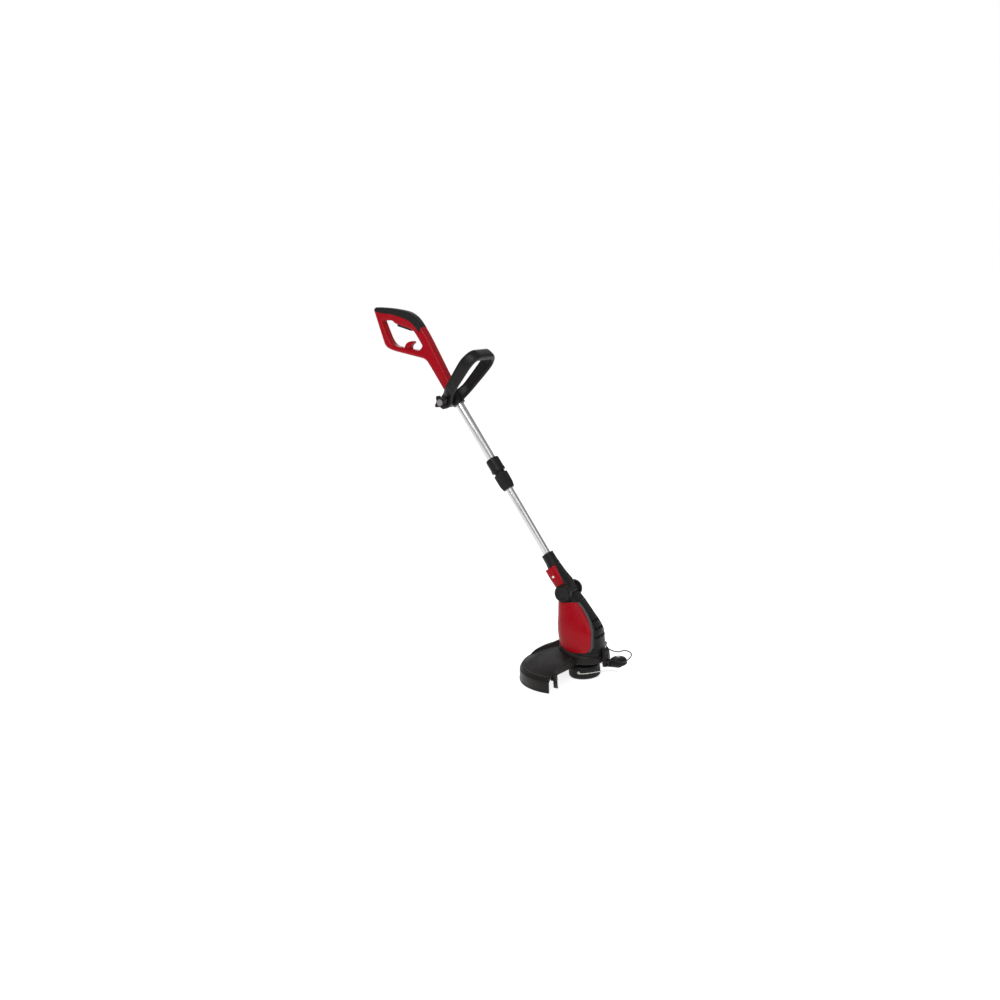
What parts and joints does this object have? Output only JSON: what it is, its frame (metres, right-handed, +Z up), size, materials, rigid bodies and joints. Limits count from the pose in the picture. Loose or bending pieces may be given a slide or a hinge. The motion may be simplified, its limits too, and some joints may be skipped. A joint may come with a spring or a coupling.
{
  "type": "string trimmer",
  "caption": "Corded electric string trimmer: closed rear handle, telescopic tube, loop handle, tilting motor head with guard, edge wheel and nylon line.",
  "frame": {"origin": "centre of the bump button's flat face, on the motor's axis, at the bottom of the cutting head", "axes": "+Z up along the motor's axis, +X forwards to the guide wheel, +Y to the left; the shaft leans back 30 degrees"},
  "size_m": [0.7797, 0.3528, 1.1332],
  "materials": {
    "shell_red": "moulded red plastic, satin gloss",
    "body_black": "moulded black plastic, fine texture",
    "knob_black": "moulded black plastic",
    "head_black": "moulded black nylon, scuffed",
    "soft_grip": "soft overmould, fine grain",
    "tube_aluminium": "drawn and anodised tube",
    "steel_parts": "zinc-plated steel",
    "blade_steel": "ground strip steel",
    "bail_wire": "coated steel wire",
    "copper_parts": "lacquered copper",
    "line_nylon": "drawn nylon line",
    "lead_black": "flexible sheath"
  },
  "bodies": {
    "handle": {"handle_shell_right": "shell_red", "handle_shell_left": "shell_red", "grip_cover": "soft_grip", "switch_block": "body_black", "power_inlet": "body_black", "inlet_lead": "lead_black", "handle_screw_1": "steel_parts", "handle_screw_2": "steel_parts", "handle_screw_3": "steel_parts", "handle_screw_4": "steel_parts", "trigger_spring": "steel_parts", "upper_tube": "tube_aluminium", "coiled_lead": "lead_black", "tube_sleeve": "body_black", "collet": "line_nylon", "aux_clamp": "body_black"},
    "trigger": {"trigger": "body_black"},
    "aux": {"aux_handle": "body_black"},
    "knob": {"star_knob": "knob_black", "aux_bolt": "steel_parts"},
    "lock": {"lock_nut": "body_black"},
    "lower_shaft": {"lower_tube": "tube_aluminium", "tube_socket": "body_black", "lower_lead": "lead_black"},
    "swivel": {"swivel_bracket": "body_black", "bracket_cover": "shell_red"},
    "swivel_button": {"swivel_button": "shell_red"},
    "head": {"tilt_yoke": "body_black", "tilt_pin": "steel_parts", "tilt_spring": "steel_parts", "motor_cover_front": "body_black", "motor_shell_rear": "shell_red", "motor_base": "body_black", "stator": "steel_parts", "motor_end_plate": "body_black", "upper_bearing": "steel_parts", "lower_bearing": "steel_parts", "brush_right": "body_black", "brush_left": "body_black", "guard": "body_black", "cutter_blade": "blade_steel", "guard_screw_1": "steel_parts", "guard_screw_2": "steel_parts", "guide_arm": "body_black", "wheel_axle": "steel_parts"},
    "tilt_button": {"tilt_button": "body_black"},
    "cutting_head": {"armature": "copper_parts", "commutator": "copper_parts", "fan": "body_black", "drive_spindle": "steel_parts", "head_hub": "head_black", "spool_cap": "head_black", "spool": "head_black", "line_winding": "line_nylon", "bump_spring": "steel_parts", "line_right": "line_nylon", "line_left": "line_nylon"},
    "bump_button": {"bump_button": "head_black"},
    "guide_wheel": {"guide_wheel": "head_black"},
    "plant_guard": {"plant_guard": "bail_wire"}
  },
  "joints": [
    {"name": "trigger_squeeze", "type": "hinge", "parent": "handle", "child": "trigger", "pos_m": [-0.5031, 0, 1.05971], "axis": [0, 1, 0], "range_deg": [0, 5], "stiffness_Nm_per_rad": 2, "springref_deg": -2.86, "deforming": ["trigger_spring"]},
    {"name": "aux_tilt", "type": "hinge", "parent": "handle", "child": "aux", "pos_m": [-0.38855, 0, 0.83157], "axis": [0, 1, 0], "range_deg": [-35, 30]},
    {"name": "knob_turn", "type": "hinge", "parent": "handle", "child": "knob", "pos_m": [-0.38855, 0, 0.83157], "axis": [0, -1, 0], "range_deg": [0, 720]},
    {"name": "lock_turn", "type": "hinge", "parent": "handle", "child": "lock", "pos_m": [-0.22, 0, 0.58363], "axis": [0.5, 0, -0.866], "range_deg": [0, 90]},
    {"name": "shaft_slide", "type": "slide", "parent": "handle", "child": "lower_shaft", "axis": [0.5, 0, -0.866], "range_m": [-0.12, 0.08], "deforming": ["coiled_lead"]},
    {"name": "head_swivel", "type": "hinge", "parent": "lower_shaft", "child": "swivel", "pos_m": [-0.062, 0, 0.30996], "axis": [0.5, 0, -0.866], "range_deg": [0, 180]},
    {"name": "swivel_press", "type": "slide", "parent": "swivel", "child": "swivel_button", "axis": [0, 1, 0], "range_m": [0, 0.0022], "stiffness_N_per_m": 1500, "springref_m": -0.001},
    {"name": "head_tilt", "type": "hinge", "parent": "swivel", "child": "head", "pos_m": [-0.032, 0, 0.258], "axis": [0, 1, 0], "range_deg": [-30, 40]},
    {"name": "tilt_press", "type": "slide", "parent": "head", "child": "tilt_button", "axis": [0, 1, 0], "range_m": [0, 0.001], "stiffness_N_per_m": 1200, "springref_m": -0.001, "deforming": ["tilt_spring"]},
    {"name": "head_spin", "type": "hinge", "parent": "head", "child": "cutting_head", "pos_m": [0, 0, 0], "axis": [0, 0, 1], "continuous": true},
    {"name": "bump_press", "type": "slide", "parent": "cutting_head", "child": "bump_button", "axis": [0, 0, 1], "range_m": [0, 0.005], "stiffness_N_per_m": 1500, "springref_m": -0.002, "deforming": ["bump_spring"]},
    {"name": "wheel_roll", "type": "hinge", "parent": "head", "child": "guide_wheel", "pos_m": [0.113, 0, 0.054], "axis": [0, 0, 1], "continuous": true},
    {"name": "bail_fold", "type": "hinge", "parent": "head", "child": "plant_guard", "pos_m": [0.054, 0, 0.092], "axis": [0, 1, 0], "range_deg": [-70, 0]}
  ]
}
